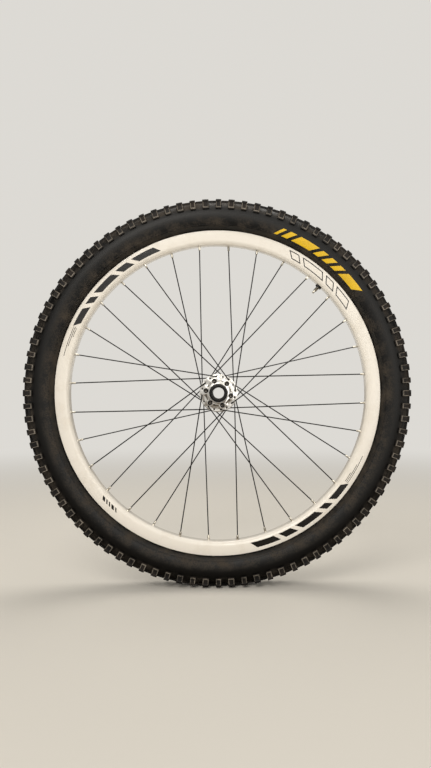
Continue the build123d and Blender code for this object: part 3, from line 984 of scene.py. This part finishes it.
# Anodising dyes the aluminium's own skin: a satin black with a metal's glint at its edges.
black_anodised = metal("black_anodised_aluminium", "#0E0D0D", "#1D1916", 0.28, 0.45, 0.4, lathe=0.3)
# Black oxide is a thin film on steel, oiled: darker than the steel, and a little dull.
black_oxide = metal("black_oxide_steel", "#0D0C0C", "#1F1B19", 0.35, 0.5, 0.5)
# The spokes' coat is close to paint: a deep black with a thin line of light along each wire.
spoke_black = metal("black_coated_steel", "#060505", "#120F0D", 0.32, 0.45, 0.1)
# Nickel on brass is silver with a hint of yellow, and it goes brown in its corners.
plated_brass = metal("nickel_plated_brass", "#DAD5C9", "#A79C86", 0.18, 0.35, 1.0)
# Steel that keys have rubbed bare is grey and scratched, with a broad soft shine.
worn_steel = metal("worn_steel", "#A7A29A", "#6E675E", 0.3, 0.5, 1.0)
# Bearing steel is ground and hardened: a cool grey with a sharp shine.
bearing_steel = metal("ground_bearing_steel", "#B9B8B5", "#8F8B84", 0.15, 0.3, 1.0)
print("metals from", polished_aluminium.name, "to", bearing_steel.name)

# %% [markdown]
# A spoke is one wire: a round head, a short shank through the flange, an elbow, and a long straight run.
# A curve with a round bevel would give the same tube, but its rings would need placing by hand at the
# elbow. Here a circle is extruded along the shank, spun through the elbow, and extruded again to the
# crossing and to the nipple. The head is a flattened cone that sits on the flange.

# %% Spokes
WIRE_SIDES = 10
ELBOW_R = 1.5
ELBOW_STEPS = 5
HEAD_R, HEAD_TOP_R, HEAD_T = 1.65, 1.2, 1.4
TIP_GAP = 0.4


def push(bm, ring, step):
    """Extrudes a ring of edges by a step, and returns the new ring."""
    made = bmesh.ops.extrude_edge_only(bm, edges=ring)["geom"]
    moved = {g for g in made if isinstance(g, bmesh.types.BMVert)}
    bmesh.ops.translate(bm, vec=step, verts=list(moved))
    return [g for g in made if isinstance(g, bmesh.types.BMEdge) and moved.issuperset(g.verts)]


def spoke_wire(head, elbow, crossing, seat):
    """A bent wire from its head to its end inside the nipple."""
    bm = bmesh.new()
    shank = (elbow - head).normalized()
    run = (crossing - elbow).normalized()
    turn = shank.angle(run)
    bend_length = ELBOW_R * math.tan(turn / 2)
    bend_start, bend_end = elbow - shank * bend_length, elbow + run * bend_length
    centre = bend_start + (run - shank * run.dot(shank)).normalized() * ELBOW_R
    tip = seat - (seat - crossing).normalized() * TIP_GAP
    bmesh.ops.create_circle(
        bm, cap_ends=True, segments=WIRE_SIDES, radius=WIRE_R, matrix=facing(head, shank)
    )
    ring = push(bm, bm.edges[:], bend_start - head)
    bend = bmesh.ops.spin(
        bm, geom=ring, cent=centre, axis=shank.cross(run), angle=turn, steps=ELBOW_STEPS
    )["geom_last"]
    ring = [g for g in bend if isinstance(g, bmesh.types.BMEdge)]
    ring = push(bm, ring, crossing - bend_end)
    ring = push(bm, ring, tip - crossing)
    bmesh.ops.contextual_create(bm, geom=ring)
    bmesh.ops.create_cone(
        bm, cap_ends=True, segments=WIRE_SIDES, radius1=HEAD_TOP_R, radius2=HEAD_R, depth=HEAD_T,
        matrix=facing(head - shank * HEAD_T / 2, shank),
    )
    bmesh.ops.recalc_face_normals(bm, faces=bm.faces)
    return bm


for k, line in enumerate(spoke_lines, start=1):
    new_piece(
        spoke_wire(*line), f"spoke_wire_{k:02d}", "wheel", [spoke_black], [f"spoke_{k:02d}"]
    )

# %% [markdown]
# A nipple is a long nut for the spoke. Outside the rim it has four flats for a key and a tapered mouth
# for the wire, and a round neck passes through the rim's hole. A turned body could be cut flat with
# booleans, but three plain shapes do: the flats are a bevelled cube, and mouth and neck are turned and
# overlap it.

# %% Nipples
NIPPLE_SHOW = 8.4
NIPPLE_HALF = 1.65
NIPPLE_EDGE = 0.45
MOUTH_R, MOUTH_LENGTH, MOUTH_ROOT, MOUTH_EDGE, MOUTH_SIDES = 1.25, 1.3, 1.0, 0.2, 12
NECK_R, NECK_LENGTH, NECK_SIDES = 2.05, 2.4, 16
SHOULDER_LOW, SHOULDER_HIGH = 0.9, 1.6


def nipple(bm, crossing, seat):
    """Adds a nipple to a mesh, pointing from the rim along its spoke."""
    place = facing(seat, (crossing - seat).normalized())
    flats_end = NIPPLE_SHOW - MOUTH_LENGTH
    lift = Matrix.Translation((0, 0, flats_end / 2))
    stretch = Matrix.Diagonal((NIPPLE_HALF, NIPPLE_HALF, flats_end / 2, 1))
    flats = bmesh.new()
    bmesh.ops.create_cube(flats, size=2, matrix=place @ lift @ stretch)
    bmesh.ops.bevel(
        flats, geom=flats.edges[:], offset=NIPPLE_EDGE, offset_type="OFFSET", affect="EDGES",
        segments=2, profile=0.5, material=-1,
    )
    join_into(bm, flats)
    mouth = [(0, flats_end - MOUTH_ROOT), (NIPPLE_HALF, flats_end - MOUTH_ROOT), (NIPPLE_HALF, flats_end)]
    mouth += [(MOUTH_R, NIPPLE_SHOW - MOUTH_EDGE), (MOUTH_R - MOUTH_EDGE, NIPPLE_SHOW), (0, NIPPLE_SHOW)]
    join_into(bm, spun(mouth, MOUTH_SIDES, place))
    neck = [(0, -NECK_LENGTH), (NECK_R, -NECK_LENGTH), (NECK_R, SHOULDER_LOW)]
    neck += [(NIPPLE_HALF, SHOULDER_HIGH), (0, SHOULDER_HIGH)]
    join_into(bm, spun(neck, NECK_SIDES, place))


nipple_mesh = bmesh.new()
for _, _, crossing, seat in spoke_lines:
    nipple(nipple_mesh, crossing, seat)
new_piece(nipple_mesh, "nipples", "wheel", [plated_brass], ["spoke_nipples"])

# %% [markdown]
# The hub shell was turned, milled and polished, so its edges are soft, and light runs along them. The
# solid's shape is right, so a copy of it is welded, its flat triangles are joined, and its sharp edges are
# bevelled. A Bevel modifier could do the last step, but not the welding. The end caps and the sleeve are
# made the same way.

# %% Hub, sleeve and end caps
WELD = 0.002
FLAT_ANGLE = math.radians(0.2)
HUB_EDGE, SLEEVE_EDGE, CAP_EDGE = 0.35, 0.25, 0.3


def eased(node, width):
    """A copy of a solid with its sharp edges rounded."""
    bm = bmesh.new()
    bm.from_mesh(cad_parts[node].data)
    bmesh.ops.scale(bm, vec=(1 / MM, 1 / MM, 1 / MM), verts=bm.verts)
    bmesh.ops.remove_doubles(bm, verts=bm.verts, dist=WELD)
    bmesh.ops.dissolve_limit(bm, angle_limit=FLAT_ANGLE, verts=bm.verts, edges=bm.edges)
    sharp = [e for e in bm.edges if e.is_manifold and e.calc_face_angle() > SHARP_ANGLE]
    bmesh.ops.bevel(
        bm, geom=sharp, offset=width, offset_type="OFFSET", affect="EDGES",
        segments=2, profile=0.5, material=-1, clamp_overlap=True,
    )
    return bm


new_piece(eased("hub_shell", HUB_EDGE), "hub_polished", "wheel", [polished_aluminium], ["hub_shell"])
new_piece(
    eased("axle_sleeve", SLEEVE_EDGE), "sleeve_turned", "axle", [polished_aluminium],
    ["axle_sleeve"],
)
for cap_side in ("rotor_side", "far_side"):
    cap = f"end_cap_{cap_side}"
    new_piece(eased(cap, CAP_EDGE), f"cap_{cap_side}", "axle", [black_anodised], [cap])

# %% [markdown]
# Each rotor bolt has a low round head with a star-shaped socket, whose walls keys have rubbed bare. The
# head is turned. The star could be inset and pushed down, but its points would have to be drawn first, so
# a prism cuts it: its outline is a circle with every second point pulled in.

# %% Rotor bolts
BOLTS = 6
FIRST_BOLT = 48.5
BOLT_CIRCLE_R = 22.0
ROTOR_FACE_Y = -39.5
BOLT_HEAD_R, BOLT_HEAD_T, BOLT_HEAD_ROUND = 4.1, 2.6, 0.9
# The middle of a rounded edge, as shares of its radius.
ROUND_IN, ROUND_UP = 0.3, 0.7
BOLT_R, BOLT_LENGTH, BOLT_SIDES = 2.5, 9.0, 24
STAR_POINTS, STAR_OUT_R, STAR_IN_R, STAR_FLOOR_R = 6, 2.4, 1.8, 0.9
STAR_DEPTH, STAR_SPARE = 0.9, 0.05
LEVEL = 0.95


def bolt(place):
    """A bolt that stands on its seat at a place, with its head along Z."""
    round_end = BOLT_HEAD_T - BOLT_HEAD_ROUND
    section = [
        (0, -BOLT_LENGTH), (BOLT_R, -BOLT_LENGTH), (BOLT_R, 0), (BOLT_HEAD_R, 0), (BOLT_HEAD_R, round_end),
        (BOLT_HEAD_R - BOLT_HEAD_ROUND * ROUND_IN, round_end + BOLT_HEAD_ROUND * ROUND_UP),
        (BOLT_HEAD_R - BOLT_HEAD_ROUND, BOLT_HEAD_T), (0, BOLT_HEAD_T),
    ]
    star = bmesh.new()
    bmesh.ops.create_cone(
        star, cap_ends=True, segments=2 * STAR_POINTS, radius1=STAR_FLOOR_R, radius2=STAR_OUT_R,
        depth=STAR_DEPTH, matrix=Matrix.Translation((0, 0, BOLT_HEAD_T - STAR_DEPTH / 2 + STAR_SPARE)),
    )
    for vert in star.verts:
        point = round(math.atan2(vert.co.y, vert.co.x) * STAR_POINTS / math.pi)
        if point % 2:
            vert.co.xy *= STAR_IN_R / STAR_OUT_R
    bm = cut_out(spun(section, BOLT_SIDES, Matrix.Identity(4)), star)
    for face in bm.faces:
        if abs(face.normal.z) < LEVEL and face.calc_center_median().xy.length < STAR_OUT_R:
            face.material_index = WEAR_AND_HIGHLIGHT
    bmesh.ops.transform(bm, matrix=place, verts=bm.verts)
    return bm


bolt_mesh = bmesh.new()
for n in range(BOLTS):
    seat = on_wheel(FIRST_BOLT + n * 360 / BOLTS, BOLT_CIRCLE_R, ROTOR_FACE_Y)
    join_into(bolt_mesh, bolt(facing(seat, -AXLE)))
new_piece(bolt_mesh, "rotor_bolts_round", "wheel", [black_oxide, worn_steel], ["rotor_bolts"])

# %% [markdown]
# The valve is turned from brass and plated, with a thread along its stem that the lock nut runs on. A
# helix could be screwed up the stem, but a thread this fine reads as a row of rings, so its section is a
# zigzag that is spun about the stem. Nut and core only need their edges eased.

# %% Valve
STEM_R, STEM_TIP_R, STEM_FOOT_R, STEM_SIDES = 3.0, 250.0, 279.5, 24
FOOT_R, FOOT_T = 6.0, 5.0
THREAD_PITCH, THREAD_DEPTH = 1.0, 0.28
THREAD_START, THREAD_END = 250.8, 262.0
NUT_EDGE, CORE_EDGE = 0.35, 0.4

stem = [(0, STEM_TIP_R), (STEM_R - THREAD_DEPTH, STEM_TIP_R)]
for n in range(round((THREAD_END - THREAD_START) / THREAD_PITCH)):
    turn_r = THREAD_START + n * THREAD_PITCH
    stem += [(STEM_R - THREAD_DEPTH, turn_r), (STEM_R, turn_r + THREAD_PITCH / 2)]
stem += [(STEM_R, THREAD_END), (STEM_R, STEM_FOOT_R), (FOOT_R, STEM_FOOT_R)]
stem += [(FOOT_R, STEM_FOOT_R + FOOT_T), (0, STEM_FOOT_R + FOOT_T)]
stem_mesh = spun(stem, STEM_SIDES, facing(ORIGIN, valve_out))
new_piece(stem_mesh, "valve_thread", "wheel", [plated_brass], ["valve_stem"])
nut_mesh = eased("valve_nut", NUT_EDGE)
new_piece(nut_mesh, "valve_lock_nut", "wheel", [black_anodised], ["valve_nut"])
core_mesh = eased("valve_core", CORE_EDGE)
new_piece(core_mesh, "valve_core_round", "wheel", [plated_brass], ["valve_core"])

# %% [markdown]
# What is left is seen only through gaps, and its solids are right as they are. So they only get the
# finishes of the real ones: ground steel for the bearing rings, worn steel for balls and cages, and a
# glossy plastic film for the rim tape.

# %% Inner pieces
# Polyester tape is a clear yellow film, as glossy as paint where it is stretched over the rim.
tape_film = enamel("polyester_tape", "#D9B84A", "#B89A44")
INNER_FINISHES = {
    "rim_tape": tape_film,
    "bearing_outer_races": bearing_steel,
    "bearing_inner_races": bearing_steel,
    "bearing_ball_cages": worn_steel,
}
for node, material in INNER_FINISHES.items():
    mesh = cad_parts[node].data
    mesh.materials.clear()
    mesh.materials.append(material)
print("dressed", ", ".join(INNER_FINISHES))
